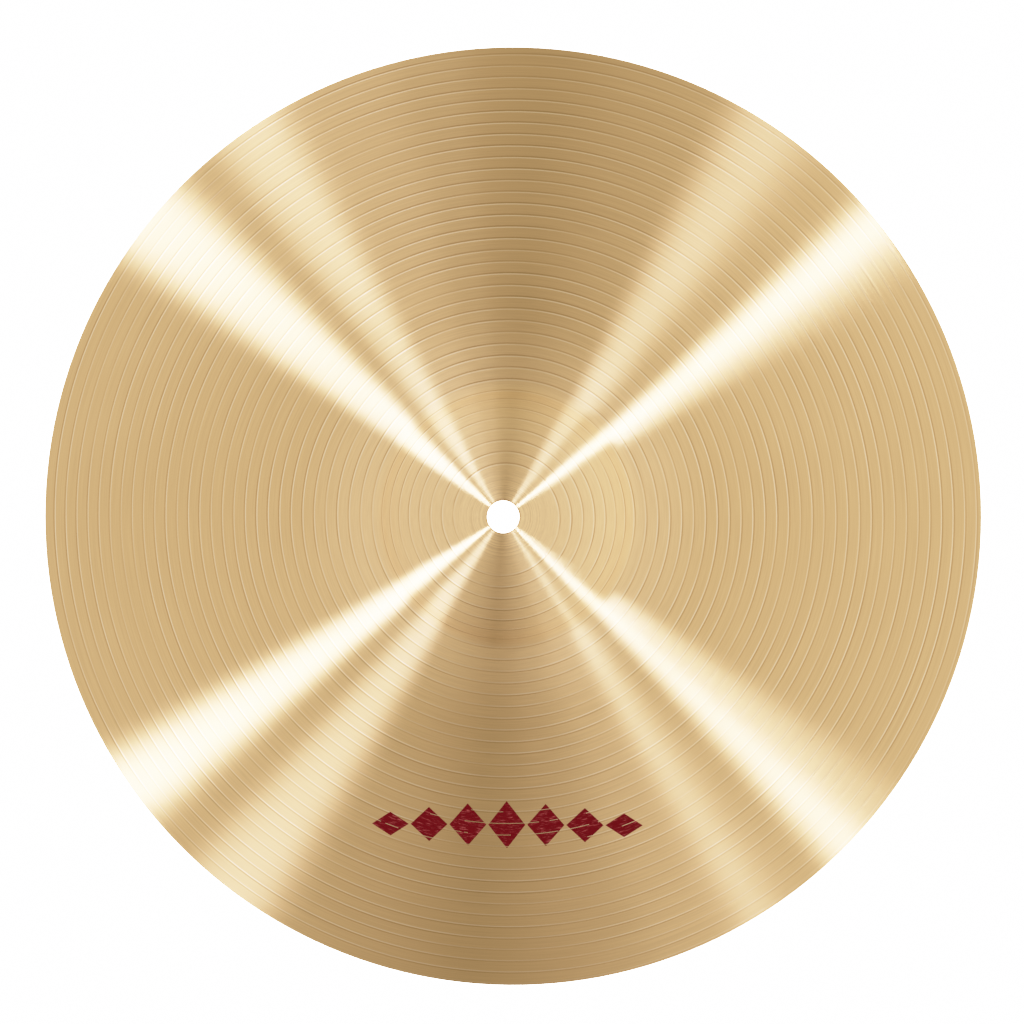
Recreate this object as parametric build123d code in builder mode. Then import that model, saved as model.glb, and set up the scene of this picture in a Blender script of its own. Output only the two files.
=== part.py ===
"""A 14 inch crash cymbal: one spun and lathed brass plate with a bell, a bow and a thin edge,
and the emblem printed on its bow. Millimetres. The origin is on the axis of the stand hole, in
the plane that the edge rests on, with +Z up through the bell and the emblem towards -Y."""

import os

from build123d import *

# The plate.
plate_diameter = 356.0
hole_diameter = 12.0
sheet_thickness = 1.1  # over the whole bell
edge_thickness = 0.8
bow_height = 14.0  # from the upper side of the edge to the foot of the bell
rim_rounding = 0.5  # the upper rim of the stand hole
edge_rounding = 0.35

# The bell's upper side, from the axis outwards: the radius of each arc and the slope that it ends at.
crown_radius = 100.0
crown_slope = 17.5
flank_radius = 40.0
flank_slope = 45.0
foot_radius = 6.5
foot_slope = 3.5

# The tonal grooves, which a round-nosed tool turns in the upper side. Distances are along that side.
groove_pitch = 4.45
groove_count = 37
groove_width = 0.9
groove_depth = 0.08
edge_to_groove = 2.0  # from the edge to the outermost groove

# The printed emblem: a row of lozenges that get lower away from the middle one.
emblem_distance = 116.0  # from the axis to the row
lozenge_pitch = 14.7
lozenge_width = 13.9
lozenge_heights = (18.0, 16.0, 13.0, 9.0)  # from the middle one outwards
ink_thickness = 0.05

plate_radius = plate_diameter / 2
groove_radius = (groove_width**2 / 4 + groove_depth**2) / (2 * groove_depth)


def bell_arcs(top, depth):
    """Draw the bell's side that lies depth under its upper side, from the axis out, and return its foot."""
    crown = JernArc((0, top - depth), (1, 0), crown_radius - depth, -crown_slope)
    flank = JernArc(crown @ 1, crown % 1, flank_radius - depth, crown_slope - flank_slope)
    return JernArc(flank @ 1, flank % 1, foot_radius + depth, flank_slope - foot_slope)


# The height of the bell's top over the plane of the edge, from how far its three arcs come down.
with BuildLine():
    bell_drop = -(bell_arcs(0, 0) @ 1).Y
plate_height = edge_thickness + bow_height + bell_drop

with BuildLine() as upper_side:
    upper_foot = bell_arcs(plate_height, 0)
    upper_bow = TangentArc(upper_foot @ 1, (plate_radius, edge_thickness), tangent=upper_foot % 1)


def cut_grooves():
    """Take the round nose of the tool out of a section of the upper side, at each of the grooves."""
    side = upper_side.wires()[0]
    for groove in range(groove_count):
        distance = side.length - edge_to_groove - groove * groove_pitch
        point = side.position_at(distance, position_mode=PositionMode.LENGTH)
        outwards = side.tangent_at(distance, position_mode=PositionMode.LENGTH)
        upwards = outwards.rotate(Axis.Z, 90)
        with Locations(point + upwards * (groove_radius - groove_depth)):
            Circle(groove_radius, mode=Mode.SUBTRACT)


with BuildPart() as cymbal:
    with BuildSketch(Plane.XZ) as section:
        with BuildLine():
            add(upper_side)
            lower_foot = bell_arcs(plate_height, sheet_thickness)
            lower_bow = TangentArc(lower_foot @ 1, (plate_radius, 0), tangent=lower_foot % 1)
            Line(upper_bow @ 1, lower_bow @ 1)
            Line((0, plate_height), (0, plate_height - sheet_thickness))
        make_face()
        Rectangle(hole_diameter, 3 * plate_height, mode=Mode.SUBTRACT)
        fillet(section.vertices().group_by(Axis.X)[0].sort_by(Axis.Y)[-1], rim_rounding)
        fillet(section.vertices().group_by(Axis.X)[-1], edge_rounding)
        cut_grooves()
    revolve(axis=Axis.Z)
cymbal.part.label = "cymbal"

# The ink is a film of even thickness on the lands between the grooves, cut to the lozenges' outlines.
with BuildPart() as printed_emblem:
    with BuildSketch(Plane.XZ):
        with Locations(upper_bow.arc_center):
            Circle(upper_bow.radius + ink_thickness)
            Circle(upper_bow.radius, mode=Mode.SUBTRACT)
        with Locations((emblem_distance, plate_height / 2)):
            Rectangle(plate_radius / 2, plate_height, mode=Mode.INTERSECT)
        cut_grooves()
    revolve(axis=Axis.Z)
    with BuildSketch(Plane.XY):
        for place in range(1 - len(lozenge_heights), len(lozenge_heights)):
            half_height = lozenge_heights[abs(place)] / 2
            with Locations((place * lozenge_pitch, -emblem_distance)):
                Polygon(
                    (lozenge_width / 2, 0),
                    (0, half_height),
                    (-lozenge_width / 2, 0),
                    (0, -half_height),
                )
    extrude(amount=plate_height, mode=Mode.INTERSECT)
printed_emblem.part.label = "printed_emblem"

os.makedirs("parts", exist_ok=True)
export_step(cymbal.part, "parts/cymbal.step")
export_step(printed_emblem.part, "parts/printed_emblem.step")
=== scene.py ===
import math

import bmesh
import bpy
import numpy as np
from mathutils import Matrix, Vector, noise


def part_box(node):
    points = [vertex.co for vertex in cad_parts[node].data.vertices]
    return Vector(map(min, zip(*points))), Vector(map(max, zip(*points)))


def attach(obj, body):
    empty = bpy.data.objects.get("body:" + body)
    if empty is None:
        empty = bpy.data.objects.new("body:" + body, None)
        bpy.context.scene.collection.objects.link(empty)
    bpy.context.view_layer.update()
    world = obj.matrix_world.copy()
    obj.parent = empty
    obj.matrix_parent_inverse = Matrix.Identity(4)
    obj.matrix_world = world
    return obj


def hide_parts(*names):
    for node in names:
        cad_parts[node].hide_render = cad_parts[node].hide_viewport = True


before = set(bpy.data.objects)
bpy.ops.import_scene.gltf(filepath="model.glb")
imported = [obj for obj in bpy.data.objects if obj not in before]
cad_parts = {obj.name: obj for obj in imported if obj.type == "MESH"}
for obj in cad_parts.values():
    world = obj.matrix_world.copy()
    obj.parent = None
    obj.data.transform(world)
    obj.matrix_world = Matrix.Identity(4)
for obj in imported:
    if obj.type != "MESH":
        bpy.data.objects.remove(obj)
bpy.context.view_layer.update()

MM = 0.001

# The plate. Its radius comes from the CAD node's box, and the rest from the part's drawing.
PLATE_LOW, PLATE_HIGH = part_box("cymbal")
PLATE_RADIUS = (PLATE_HIGH[0] - PLATE_LOW[0]) / 2
HOLE_RADIUS = 6.0 * MM
BELL_THICKNESS = 1.1 * MM
EDGE_THICKNESS = 0.8 * MM
BOW_HEIGHT = 14.0 * MM
RIM_ROUNDING = 0.5 * MM
EDGE_ROUNDING = 0.35 * MM

# The bell's arcs from the axis outwards: radius, negative where the arc is hollow, and slope at its end.
CROWN_RADIUS = 100.0 * MM
BELL_ARCS = ((CROWN_RADIUS, 17.5), (40.0 * MM, 45.0), (-6.5 * MM, 3.5))

# The tonal groove: one spiral that runs inwards as it turns anticlockwise, seen from above.
GROOVE_PITCH = 4.45 * MM
GROOVE_WIDTH = 1.1 * MM
GROOVE_DEPTH = 0.08 * MM
UNDER_DEPTH = 0.05 * MM
GROOVE_START = 1.7 * MM  # from the edge to the groove on the +X side
GROOVE_END = 17.5 * MM  # from the axis to where the groove runs out, along the side
GROOVE_FADE = 0.4 * GROOVE_PITCH  # over which the groove gets shallow at either end
SEGMENTS = 192
RIM_STEPS = 4
EDGE_STEPS = 6

# Rows of points across one pitch: the offset from the groove's middle towards the axis, in groove widths,
# and whether the row gets painted highlight on the groove's inner lip (1) or painted shade on its outer wall
# (-1).
TOP_ROWS = ((-0.7, 0), (-0.5, 0), (-0.25, -1), (0, 0), (0.25, 1), (0.5, 0), (0.7, 0), (2.0, 0))
UNDER_ROWS = ((-0.5, 0), (0, 0), (0.5, 0), (2.0, 0))

# The printed emblem, as in the part's drawing: a row of lozenges that get lower away from the middle one.
EMBLEM_DISTANCE = 116.0 * MM
LOZENGE_PITCH = 14.7 * MM
LOZENGE_WIDTH = 13.9 * MM
LOZENGE_HEIGHTS = (18.0 * MM, 16.0 * MM, 13.0 * MM, 9.0 * MM)
INK_THICKNESS = 0.05 * MM
INK_STEP = 0.35 * MM  # between the ink's points along the circumference
INK_MARGIN = 1.1  # how much larger than its lozenge a patch of ink is made, before it is cut
BARE_ROW = 3  # the row of a groove after which the ink is missing, except in some places
BARE_ABOVE = -0.1  # the value of the noise over which the ink is missing there
BARE_LENGTH = 4.0 * MM  # the usual length of such a place
TURNS_APART = 7.3  # how far the noise of one turn of the groove is from the next one's
LOZENGES_APART = 20.0 * MM  # the distance between lozenges that takes them one unit apart in the noise


def chain_of_arcs():
    """The upper side as arcs from the axis to the edge, then its height on the axis and its length.

    Each arc is its start along the side, the radius, height and slope there, and its bend.
    """
    arcs = []
    radius, height, slope, distance = 0.0, 0.0, 0.0, 0.0
    for arc_radius, end_degrees in BELL_ARCS:
        end = math.radians(end_degrees)
        arcs.append((distance, radius, height, slope, 1 / arc_radius))
        distance += (end - slope) * arc_radius
        radius += (math.sin(end) - math.sin(slope)) * arc_radius
        height += (math.cos(end) - math.cos(slope)) * arc_radius
        slope = end
    chord = Vector((PLATE_RADIUS - radius, -BOW_HEIGHT))
    turn = 2 * (math.atan2(BOW_HEIGHT, PLATE_RADIUS - radius) - slope)
    bow_radius = chord.length / (2 * math.sin(turn / 2))
    arcs.append((distance, radius, height, slope, 1 / bow_radius))
    return arcs, EDGE_THICKNESS + BOW_HEIGHT - height, distance + turn * bow_radius


ARCS, TOP, SIDE_LENGTH = chain_of_arcs()
BELL_LENGTH = ARCS[-1][0]


def upper_side(distance):
    """Radius, height and slope of the upper side at distances along it from the axis."""
    radius, height, slope = (np.zeros_like(distance) for _ in range(3))
    for start, start_radius, start_height, start_slope, bend in ARCS:
        here = distance >= start
        angle = start_slope + (distance[here] - start) * bend
        slope[here] = angle
        radius[here] = start_radius + (np.sin(angle) - math.sin(start_slope)) / bend
        height[here] = TOP + start_height + (np.cos(angle) - math.cos(start_slope)) / bend
    return radius, height, slope


def plate_point(distance, depth):
    """Radius and height of a point at a depth under the upper side."""
    radius, height, slope = upper_side(distance)
    return radius - depth * np.sin(slope), height - depth * np.cos(slope)


def thickness_at(distance):
    """The sheet's thickness: even over the bell, then thinning to the edge."""
    share = np.clip((distance - BELL_LENGTH) / (SIDE_LENGTH - BELL_LENGTH), 0, 1)
    return BELL_THICKNESS + share * (EDGE_THICKNESS - BELL_THICKNESS)


def groove_shape(rows, depth):
    """Offsets, cut depths and painted light values (painted highlight or painted shade) of the rows of points
    across one pitch.
    """
    offsets = np.array([min(share * GROOVE_WIDTH, GROOVE_PITCH / 2) for share, _ in rows])
    cuts = depth * np.clip(1 - (2 * offsets / GROOVE_WIDTH) ** 2, 0, None)
    return offsets, cuts, np.array([float(painted_light) for _, painted_light in rows])


def circle_azimuths():
    return np.arange(SEGMENTS) * 2 * math.pi / SEGMENTS


def add_points(points, distance, depth, azimuth, painted_light):
    """Add points of the plate, each with its painted light value (painted highlight or painted shade), and
    return the index of the first.
    """
    radius, height = plate_point(distance, depth)
    first = len(points)
    points.extend(zip(radius * np.cos(azimuth), radius * np.sin(azimuth), height, painted_light))
    return first


def build_side(points, inner, outer, rows, depth, under):
    """Add one grooved side between two circles, given as distances along it from the axis.

    The rows of points follow the spiral. Where a row would pass one of the circles, it is held on the
    circle. Returns the side's faces and the first points of its inner and outer circle.
    """
    offsets, cuts, painted_lights = groove_shape(rows, depth)
    per_pitch = len(rows)
    turns = int(SIDE_LENGTH / GROOVE_PITCH) + 3
    turn, place = np.divmod(np.arange(-2 * per_pitch, turns * per_pitch), per_pitch)
    start = SIDE_LENGTH - GROOVE_START - turn * GROOVE_PITCH - offsets[place]
    column = np.arange(SEGMENTS)[None, :]
    distance = start[:, None] - GROOVE_PITCH * column / SEGMENTS
    inside = (distance > inner) & (distance < outer)
    fade = np.clip(np.minimum(distance - GROOVE_END, outer - distance) / GROOVE_FADE, 0, 1)

    circles = []
    for where in (inner, outer):
        along = np.full(SEGMENTS, where)
        level = thickness_at(along) if under else np.zeros(SEGMENTS)
        circles.append(add_points(points, along, level, circle_azimuths(), np.zeros(SEGMENTS)))
    along = distance[inside]
    cut = (cuts[place][:, None] * fade)[inside]
    # The rows' painted highlight and painted shade, faded out with the groove.
    painted_light = (painted_lights[place][:, None] * fade)[inside]
    azimuth = np.broadcast_to(circle_azimuths(), distance.shape)[inside]
    first = add_points(points, along, thickness_at(along) - cut if under else cut, azimuth, painted_light)

    index = np.where(distance <= inner, circles[0] + column, circles[1] + column)
    index[inside] = first + np.arange(len(along))
    next_turn = np.full(len(index), circles[0])
    next_turn[:-per_pitch] = index[per_pitch:, 0]
    index = np.column_stack((index, next_turn)).tolist()
    faces = []
    for above, below in zip(index, index[1:]):
        for k in range(SEGMENTS):
            corners = [above[k], below[k], below[k + 1], above[k + 1]]
            loop = [corner for corner, before in zip(corners, corners[-1:] + corners) if corner != before]
            if len(loop) > 2:
                faces.append(loop if under else loop[::-1])
    return faces, circles[0], circles[1]


def join_circles(points, upper, lower, radii, heights, painted_light=0.0):
    """Join two circles of points by rings of the given radii and heights between them, facing outwards."""
    starts = [upper]
    for radius, height in zip(radii, heights):
        starts.append(len(points))
        points.extend((radius * math.cos(a), radius * math.sin(a), height, painted_light) for a in circle_azimuths())
    starts.append(lower)
    faces = []
    for above, below in zip(starts, starts[1:]):
        for k in range(SEGMENTS):
            n = (k + 1) % SEGMENTS
            faces.append([above + k, below + k, below + n, above + n])
    return faces


def add_rim(points, upper, lower):
    """The rounded upper rim and the wall of the stand hole, which face the axis and are punched; both get
    painted shade.
    """
    top = points[upper][2]
    turns = [math.pi / 2 * k / RIM_STEPS for k in range(1, RIM_STEPS + 1)]
    radii = [HOLE_RADIUS + RIM_ROUNDING * (1 - math.sin(turn)) for turn in turns]
    heights = [top - RIM_ROUNDING * (1 - math.cos(turn)) for turn in turns]
    return [face[::-1] for face in join_circles(points, upper, lower, radii, heights, painted_light=-1.0)]


def add_edge(points, upper, lower):
    """The rounded edge: half an ellipse from the upper side to the underside."""
    upper_end, lower_end = points[upper], points[lower]
    base = (upper_end[0] + lower_end[0]) / 2
    middle = (upper_end[2] + lower_end[2]) / 2
    half = (upper_end[2] - lower_end[2]) / 2
    turns = [math.pi * (0.5 - k / EDGE_STEPS) for k in range(1, EDGE_STEPS)]
    radii = [base + (PLATE_RADIUS - base) * math.cos(turn) for turn in turns]
    heights = [middle + half * math.sin(turn) for turn in turns]
    return join_circles(points, upper, lower, radii, heights)


def linked(name, mesh):
    """Make an object of a mesh and put it in the scene."""
    obj = bpy.data.objects.new(name, mesh)
    bpy.context.scene.collection.objects.link(obj)
    return obj


def make_cymbal():
    points = []
    top_start = CROWN_RADIUS * math.asin((HOLE_RADIUS + RIM_ROUNDING) / CROWN_RADIUS)
    under_start = CROWN_RADIUS * math.asin(HOLE_RADIUS / (CROWN_RADIUS - BELL_THICKNESS))
    end = SIDE_LENGTH - EDGE_ROUNDING
    faces, rim, edge = build_side(points, top_start, end, TOP_ROWS, GROOVE_DEPTH, False)
    under_faces, under_rim, under_edge = build_side(points, under_start, end, UNDER_ROWS, UNDER_DEPTH, True)
    faces += under_faces
    faces += add_rim(points, rim, under_rim)
    faces += add_edge(points, edge, under_edge)

    mesh = bpy.data.meshes.new("cymbal_plate")
    mesh.from_pydata([point[:3] for point in points], [], faces)
    # Each point's painted light value: painted highlight on the groove's inner lip, painted shade on its
    # outer wall and on the hole's rim.
    painted_light = mesh.attributes.new("groove_painted_light", "FLOAT", "POINT")
    painted_light.data.foreach_set("value", [point[3] for point in points])
    mesh.polygons.foreach_set("use_smooth", [True] * len(mesh.polygons))
    mesh.update()
    return linked("cymbal_plate", mesh)


def ink_patch(centre_x, half_width, half_height):
    """The upper side of a patch of ink that follows the groove, with most of the groove's lip left bare."""
    offsets, cuts, _ = groove_shape(TOP_ROWS, GROOVE_DEPTH)
    reach = math.hypot(centre_x, EMBLEM_DISTANCE)
    middle = math.atan2(-EMBLEM_DISTANCE, centre_x)
    span = INK_MARGIN * half_width / EMBLEM_DISTANCE
    azimuth = np.arange(middle - span, middle + span, INK_STEP / reach)
    share = (azimuth / (2 * math.pi)) % 1.0
    depth = 2 * INK_MARGIN * half_height
    first_turn = int((SIDE_LENGTH - reach - depth) / GROOVE_PITCH) - 2
    last_turn = int((SIDE_LENGTH - reach + depth) / GROOVE_PITCH) + 1
    mesh = bmesh.new()
    above = []
    for turn in range(first_turn, last_turn + 1):
        for place, (offset, cut) in enumerate(zip(offsets, cuts)):
            distance = SIDE_LENGTH - GROOVE_START - GROOVE_PITCH * (turn + share) - offset
            radius, height = plate_point(distance, np.full(len(azimuth), cut - INK_THICKNESS))
            row = [mesh.verts.new(p) for p in zip(radius * np.cos(azimuth), radius * np.sin(azimuth), height)]
            for k in range(len(above) - 1):
                along = azimuth[k] * reach / BARE_LENGTH
                where = Vector((along, turn * TURNS_APART, centre_x / LOZENGES_APART))
                if place - 1 == BARE_ROW and noise.noise(where) > BARE_ABOVE:
                    continue
                mesh.faces.new((above[k + 1], row[k + 1], row[k], above[k]))
            above = row
    return mesh


def make_lozenge(place):
    half_width = LOZENGE_WIDTH / 2
    half_height = LOZENGE_HEIGHTS[abs(place)] / 2
    centre_x = place * LOZENGE_PITCH
    mesh = ink_patch(centre_x, half_width, half_height)
    for across in (-1, 1):
        for along in (-1, 1):
            outwards = Vector((across / half_width, along / half_height, 0))
            corner = Vector((centre_x + across * half_width, -EMBLEM_DISTANCE, 0))
            everything = mesh.verts[:] + mesh.edges[:] + mesh.faces[:]
            bmesh.ops.bisect_plane(
                mesh, geom=everything, plane_co=corner, plane_no=outwards, clear_outer=True
            )
    loose = [vert for vert in mesh.verts if not vert.link_faces]
    bmesh.ops.delete(mesh, geom=loose, context="VERTS")
    bmesh.ops.solidify(mesh, geom=mesh.faces[:], thickness=INK_THICKNESS)
    return mesh


def make_emblem():
    joined = bmesh.new()
    for place in range(1 - len(LOZENGE_HEIGHTS), len(LOZENGE_HEIGHTS)):
        lozenge = make_lozenge(place)
        piece = bpy.data.meshes.new("lozenge")
        lozenge.to_mesh(piece)
        lozenge.free()
        joined.from_mesh(piece)
        bpy.data.meshes.remove(piece)
    mesh = bpy.data.meshes.new("emblem_ink")
    joined.to_mesh(mesh)
    joined.free()
    return linked("emblem_ink", mesh)


def feed(tree, value, socket):
    """Give an input a plain value, or link it to another node's output."""
    if isinstance(value, bpy.types.NodeSocket):
        tree.links.new(value, socket)
    else:
        socket.default_value = value


def maths(tree, operation, *values):
    node = tree.nodes.new("ShaderNodeMath")
    node.operation = operation
    for value, socket in zip(values, node.inputs):
        feed(tree, value, socket)
    return node.outputs["Value"]


def vector_maths(tree, operation, *values):
    node = tree.nodes.new("ShaderNodeVectorMath")
    node.operation = operation
    for value, socket in zip(values, node.inputs):
        feed(tree, value, socket)
    return node.outputs["Value" if operation in ("DOT_PRODUCT", "LENGTH") else "Vector"]


def scaled(tree, vector, factor):
    node = tree.nodes.new("ShaderNodeVectorMath")
    node.operation = "SCALE"
    feed(tree, vector, node.inputs["Vector"])
    feed(tree, factor, node.inputs["Scale"])
    return node.outputs["Vector"]


def mapped(tree, value, low, high, to_low=0.0, to_high=1.0, kind="LINEAR"):
    """Map a value's range from low and high to another two values, and hold it between them."""
    node = tree.nodes.new("ShaderNodeMapRange")
    node.interpolation_type = kind
    for given, socket in zip((value, low, high, to_low, to_high), node.inputs):
        feed(tree, given, socket)
    return node.outputs["Result"]


def blended(tree, share, first, second):
    node = tree.nodes.new("ShaderNodeMix")
    node.data_type = "RGBA"
    feed(tree, share, node.inputs["Factor"])
    feed(tree, first, node.inputs["A"])
    feed(tree, second, node.inputs["B"])
    return node.outputs["Result"]


def noise_of(tree, vector, detail):
    node = tree.nodes.new("ShaderNodeTexNoise")
    node.inputs["Scale"].default_value = 1.0
    node.inputs["Detail"].default_value = detail
    feed(tree, vector, node.inputs["Vector"])
    return node.outputs["Fac"]


def level_part(tree, vector):
    """The vector without its height."""
    return vector_maths(tree, "MULTIPLY", vector, (1, 1, 0))


def lathe_coordinates(tree, place, turn_scale, ring_width):
    """Coordinates for a lathe's marks: long round the axis, and ring_width apart along the radius."""
    level = level_part(tree, place)
    rings = tree.nodes.new("ShaderNodeCombineXYZ")
    feed(tree, maths(tree, "DIVIDE", vector_maths(tree, "LENGTH", level), ring_width), rings.inputs["Z"])
    turns = scaled(tree, vector_maths(tree, "NORMALIZE", level), turn_scale)
    return vector_maths(tree, "ADD", turns, rings.outputs["Vector"])


def new_material(name):
    material = bpy.data.materials.new(name)
    material.use_nodes = True
    return material, material.node_tree


def add_bump(tree, height, distance, shader):
    bump = tree.nodes.new("ShaderNodeBump")
    bump.inputs["Distance"].default_value = distance
    feed(tree, height, bump.inputs["Height"])
    feed(tree, bump.outputs["Normal"], shader.inputs["Normal"])


BELL_BRASS = (0.90, 0.655, 0.345, 1)
BOW_BRASS = (0.757, 0.54, 0.26, 1)
# The lip's colour is a painted highlight and the wall's colour is painted shade.
LIP_PAINTED_HIGHLIGHT = (1.0, 0.84, 0.58, 1)
WALL_PAINTED_SHADE = (0.50, 0.32, 0.13, 1)


def brass_colour(tree, place, fine):
    """The colour is brighter over the bell than over the bow, and both show the lathe's marks and the
    groove's painted highlight and shade.
    """
    radius = vector_maths(tree, "LENGTH", level_part(tree, place))
    patches = noise_of(tree, scaled(tree, place, 18.0), 2.0)
    bow_share = mapped(tree, radius, 45 * MM, 85 * MM, kind="SMOOTHSTEP")
    bow_share = maths(tree, "ADD", bow_share, mapped(tree, patches, 0.3, 0.7, -0.12, 0.12))
    colour = blended(tree, bow_share, BELL_BRASS, BOW_BRASS)

    # The coarser marks are near the hole, where the lathe's tool starts.
    coarse = noise_of(tree, lathe_coordinates(tree, place, 0.3, 0.36 * MM), 0.0)
    near_hole = mapped(tree, radius, 10 * MM, 20 * MM, 0.5, 0.0)
    marks = maths(tree, "MULTIPLY", maths(tree, "SUBTRACT", coarse, 0.5), near_hole)
    marks = maths(tree, "ADD", marks, mapped(tree, fine, 0.3, 0.7, 0.95, 1.05))
    colour = scaled(tree, colour, marks)

    # Painted light: the groove's inner lip gets a painted highlight and its outer wall painted shade, more in
    # some places than in others.
    painted_light = tree.nodes.new("ShaderNodeAttribute")
    painted_light.attribute_name = "groove_painted_light"
    painted_light_strength = noise_of(tree, lathe_coordinates(tree, place, 2.5, 9 * MM), 1.0)
    painted_light = maths(tree, "MULTIPLY", painted_light.outputs["Fac"], mapped(tree, painted_light_strength, 0.3, 0.65, 0.35, 1.0))
    colour = blended(tree, painted_light, colour, LIP_PAINTED_HIGHLIGHT)
    return blended(tree, maths(tree, "MULTIPLY", painted_light, -1.0), colour, WALL_PAINTED_SHADE)


def brass_material():
    """Lathed brass: its scratches run round the axis, so it mirrors each light as a ray from the hole."""
    material, tree = new_material("lathed_brass")
    tree.nodes.remove(tree.nodes["Principled BSDF"])
    place = tree.nodes.new("ShaderNodeTexCoord").outputs["Object"]
    fine = noise_of(tree, lathe_coordinates(tree, place, 5.0, 0.45 * MM), 3.0)
    tangent = tree.nodes.new("ShaderNodeTangent")
    tangent.direction_type = "RADIAL"
    tangent.axis = "Z"
    shader = tree.nodes.new("ShaderNodeBsdfAnisotropic")
    shader.distribution = "BECKMANN"
    shader.inputs["Anisotropy"].default_value = 0.81
    feed(tree, brass_colour(tree, place, fine), shader.inputs["Color"])
    feed(tree, mapped(tree, fine, 0.2, 0.8, 0.3, 0.316), shader.inputs["Roughness"])
    feed(tree, tangent.outputs["Tangent"], shader.inputs["Tangent"])
    add_bump(tree, fine, 0.01 * MM, shader)
    feed(tree, shader.outputs["BSDF"], tree.nodes["Material Output"].inputs["Surface"])
    return material


CRIMSON = (0.125, 0.001, 0.003, 1)
WORN_CRIMSON = (0.34, 0.07, 0.06, 1)


def ink_material():
    """Matt crimson ink, worn thin in streaks where the lathe's marks stand up through it."""
    material, tree = new_material("crimson_ink")
    shader = tree.nodes["Principled BSDF"]
    place = tree.nodes.new("ShaderNodeTexCoord").outputs["Object"]
    streaks = noise_of(tree, lathe_coordinates(tree, place, 40.0, 0.35 * MM), 3.0)
    worn = mapped(tree, streaks, 0.56, 0.72)
    feed(tree, blended(tree, worn, CRIMSON, WORN_CRIMSON), shader.inputs["Base Color"])
    feed(tree, mapped(tree, streaks, 0.3, 0.7, 0.7, 0.5), shader.inputs["Roughness"])
    shader.inputs["Specular IOR Level"].default_value = 0.06
    add_bump(tree, streaks, 0.02 * MM, shader)
    return material


STUDIO_RADIUS = 6.0
STUDIO_GLOW = 4.0
FLOOR_DROP = 0.5 * MM


def stage_piece(name, shape):
    """Add part of the set. Only the camera sees it, so that its glow doesn't reach the brass."""
    mesh = bpy.data.meshes.new(name)
    shape.to_mesh(mesh)
    shape.free()
    material, tree = new_material("pale_" + name)
    shader = tree.nodes["Principled BSDF"]
    shader.inputs["Base Color"].default_value = (0.9, 0.9, 0.9, 1)
    shader.inputs["Roughness"].default_value = 0.8
    shader.inputs["Emission Color"].default_value = (1, 1, 1, 1)
    shader.inputs["Emission Strength"].default_value = STUDIO_GLOW
    mesh.materials.append(material)
    obj = linked(name, mesh)
    obj.location.z = -FLOOR_DROP
    obj.visible_glossy = False
    obj.visible_diffuse = False
    obj.visible_shadow = False


def make_set():
    """A pale floor just under the plate's edge, and a pale dome over it."""
    floor = bmesh.new()
    bmesh.ops.create_circle(floor, cap_ends=True, segments=64, radius=STUDIO_RADIUS)
    stage_piece("floor", floor)
    dome = bmesh.new()
    bmesh.ops.create_uvsphere(dome, u_segments=64, v_segments=32, radius=STUDIO_RADIUS)
    below = [vert for vert in dome.verts if vert.co.z < -0.01 * STUDIO_RADIUS]
    bmesh.ops.delete(dome, geom=below, context="VERTS")
    bmesh.ops.reverse_faces(dome, faces=dome.faces[:])
    stage_piece("backdrop", dome)


CAMERA_DISTANCE = 1.0
CAMERA_TILT = 3.45  # degrees off the axis, towards +X
CAMERA_RISE = 0.17  # degrees off the axis, towards +Y
CAMERA_TARGET = (1.42 * MM, 1.68 * MM, 0.0)
FRAME_HALF_WIDTH = 194.4 * MM

LIGHT_DISTANCE = 1.0  # from the axis, level
LIGHT_LOW = 0.75
LIGHT_HIGH = 1.5
LIGHT_MIDDLE = (LIGHT_LOW + LIGHT_HIGH) / 2
LIGHT_COLOUR = (1.04, 1.02, 1.45)

# The studio's panels: azimuth on the plate at which the panel's glint falls, half the angle that the panel
# fills, both in degrees, and brightness.
PANELS = (
    ("ray_right_up", 38.0, 2.0, 15.5),
    ("ray_left_up", 140.5, 4.0, 12.5),
    ("ray_left_down", 216.0, 3.0, 15.5),
    ("ray_right_down", 316.0, 2.0, 13.0),
    ("band_right_up", 56.0, 4.5, 2.5),
    ("band_left_up", 123.5, 4.0, 4.4),
    ("band_left_down", 234.0, 4.5, 4.4),
    ("band_right_down", 302.5, 1.5, 3.6),
    ("shoulder_left_up", 108.0, 13.0, 0.35),
    ("shoulder_left_top", 113.0, 9.0, 0.35),
    ("shoulder_right_down", 294.0, 6.0, 0.3),
)

# The studio's walls: bright at both sides, darker and warmer at the ends, and dimmer towards the ceiling.
WALL_SIDES = (1.37, 1.27, 1.27, 1)
WALL_BACK = (0.76, 0.69, 0.57, 1)
WALL_FRONT = (0.51, 0.44, 0.355, 1)
LOW_FRONT = (1.1, 0.97, 0.8, 1)  # the front wall's lower part, which only the bell's steep flank shows
WALL_SHARE = 0.68  # how far towards the sides, from 0 to 1, an end's colour has gone
FRONT_SHIFT = 0.16  # how far the front wall's darkest place is towards -X, on the same scale
WALL_TREND = (0.08, 0.04, -0.4)  # change of brightness per unit of direction


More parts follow.
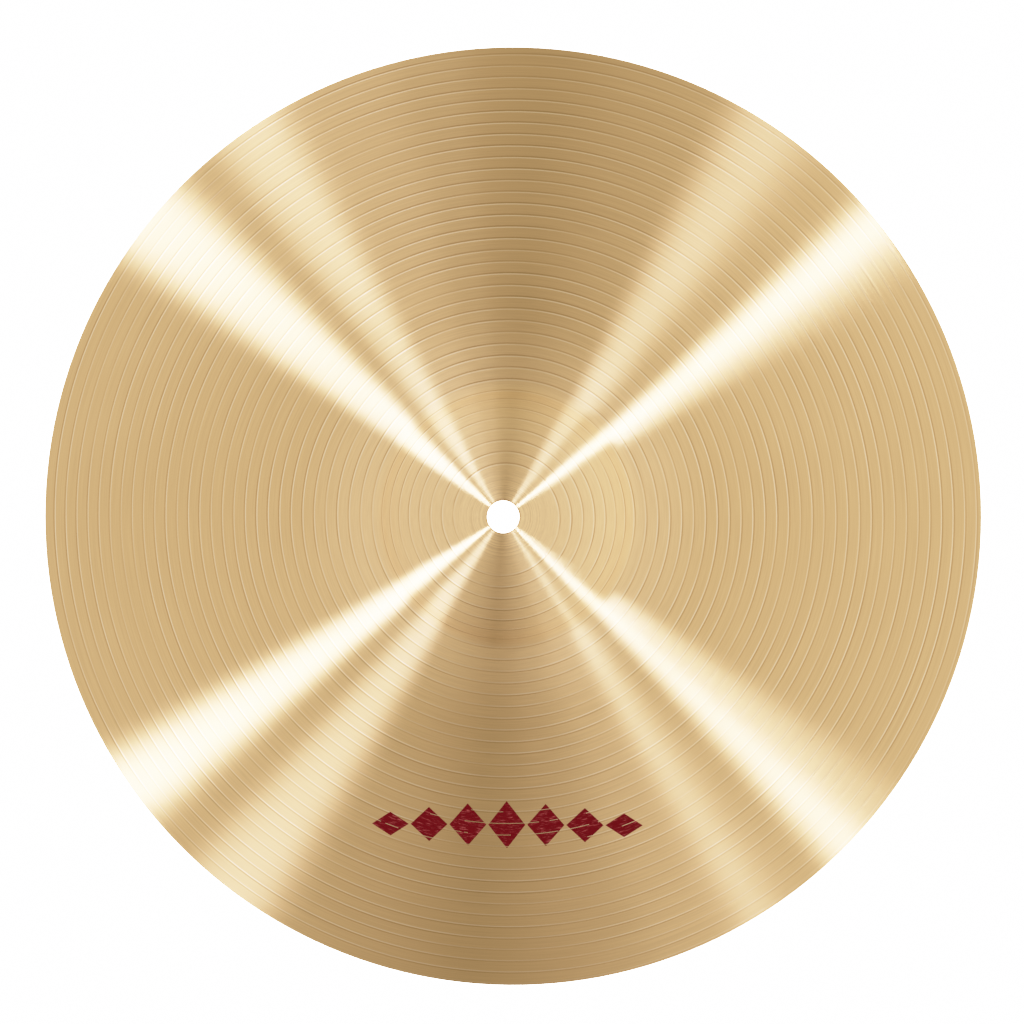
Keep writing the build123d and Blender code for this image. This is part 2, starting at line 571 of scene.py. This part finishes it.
def add_panel(name, ray, half_angle, radiance):
    """An upright panel of soft light that faces the axis, placed for the azimuth of its ray on the plate.

    To a camera straight above, a ray points at its panel. The camera's tilt turns the two apart.
    """
    level_share = LIGHT_DISTANCE / math.hypot(LIGHT_DISTANCE, LIGHT_MIDDLE)
    angle = math.radians(ray + CAMERA_TILT / level_share * math.sin(math.radians(ray)))
    width = 2 * LIGHT_DISTANCE * math.tan(math.radians(half_angle))
    height = LIGHT_HIGH - LIGHT_LOW
    light = bpy.data.lights.new(name, "AREA")
    light.shape = "RECTANGLE"
    light.size = width
    light.size_y = height
    light.color = LIGHT_COLOUR
    light.energy = radiance * width * height * math.pi
    panel = bpy.data.objects.new(name, light)
    outwards = Vector((math.cos(angle), math.sin(angle), 0))
    panel.location = outwards * LIGHT_DISTANCE + Vector((0, 0, LIGHT_MIDDLE))
    panel.rotation_euler = outwards.to_track_quat("Z", "Y").to_euler()
    panel.visible_camera = False
    bpy.context.scene.collection.objects.link(panel)


def make_walls():
    """The light of the studio's walls, as the world's background."""
    world = bpy.data.worlds.new("studio")
    bpy.context.scene.world = world
    world.use_nodes = True
    tree = world.node_tree
    background = tree.nodes["Background"]
    direction = tree.nodes.new("ShaderNodeTexCoord").outputs["Generated"]
    heading = tree.nodes.new("ShaderNodeSeparateXYZ")
    feed(tree, vector_maths(tree, "NORMALIZE", level_part(tree, direction)), heading.inputs["Vector"])
    upwards = tree.nodes.new("ShaderNodeSeparateXYZ")
    feed(tree, direction, upwards.inputs["Vector"])
    front = blended(tree, mapped(tree, upwards.outputs["Z"], -0.5, 0.4), LOW_FRONT, WALL_FRONT)
    ends = blended(tree, mapped(tree, heading.outputs["Y"], -1.0, 1.0), front, WALL_BACK)
    shift = mapped(tree, heading.outputs["Y"], -1.0, 0.0, FRONT_SHIFT, 0.0)
    sideways = maths(tree, "ADD", heading.outputs["X"], shift)
    share = mapped(tree, maths(tree, "ABSOLUTE", sideways), 0.0, WALL_SHARE)
    feed(tree, blended(tree, share, ends, WALL_SIDES), background.inputs["Color"])
    trend = vector_maths(tree, "DOT_PRODUCT", direction, WALL_TREND)
    feed(tree, maths(tree, "ADD", trend, 1.0), background.inputs["Strength"])


def make_camera():
    camera = bpy.data.cameras.new("camera")
    camera.sensor_width = 36.0
    camera.lens = camera.sensor_width / 2 * CAMERA_DISTANCE / FRAME_HALF_WIDTH
    tilt, rise = math.radians(CAMERA_TILT), math.radians(CAMERA_RISE)
    back = Vector((math.sin(tilt), math.sin(rise), math.cos(tilt))).normalized()
    right = Vector((0, 1, 0)).cross(back).normalized()
    obj = bpy.data.objects.new("camera", camera)
    obj.location = Vector(CAMERA_TARGET) + back * CAMERA_DISTANCE
    obj.rotation_euler = Matrix((right, back.cross(right), back)).transposed().to_euler()
    bpy.context.scene.collection.objects.link(obj)
    bpy.context.scene.camera = obj


WHITE_LEVEL = 4.0
STRAIGHT_TO = 0.5  # the light level up to which the tones aren't bent


def set_tones():
    """Bend the brightest tones, so that the rays on the brass reach white softly."""
    settings = bpy.context.scene.view_settings
    settings.view_transform = "Standard"
    settings.look = "None"
    settings.use_curve_mapping = True
    curves = settings.curve_mapping
    curves.white_level = (WHITE_LEVEL, WHITE_LEVEL, WHITE_LEVEL)
    for level in (0.25, 0.5, 0.75, 1.0, 1.5, 2.0, 3.0):
        over = max(level - STRAIGHT_TO, 0) / (1 - STRAIGHT_TO)
        tone = min(level, STRAIGHT_TO) + (1 - STRAIGHT_TO) * (1 - math.exp(-over))
        curves.curves[3].points.new(level / WHITE_LEVEL, tone)
    curves.update()


cymbal = make_cymbal()
cymbal.data.materials.append(brass_material())
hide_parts("cymbal")
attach(cymbal, "root")

emblem = make_emblem()
emblem.data.materials.append(ink_material())
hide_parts("printed_emblem")
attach(emblem, "root")

make_set()
for panel_facts in PANELS:
    add_panel(*panel_facts)
make_walls()
make_camera()
set_tones()
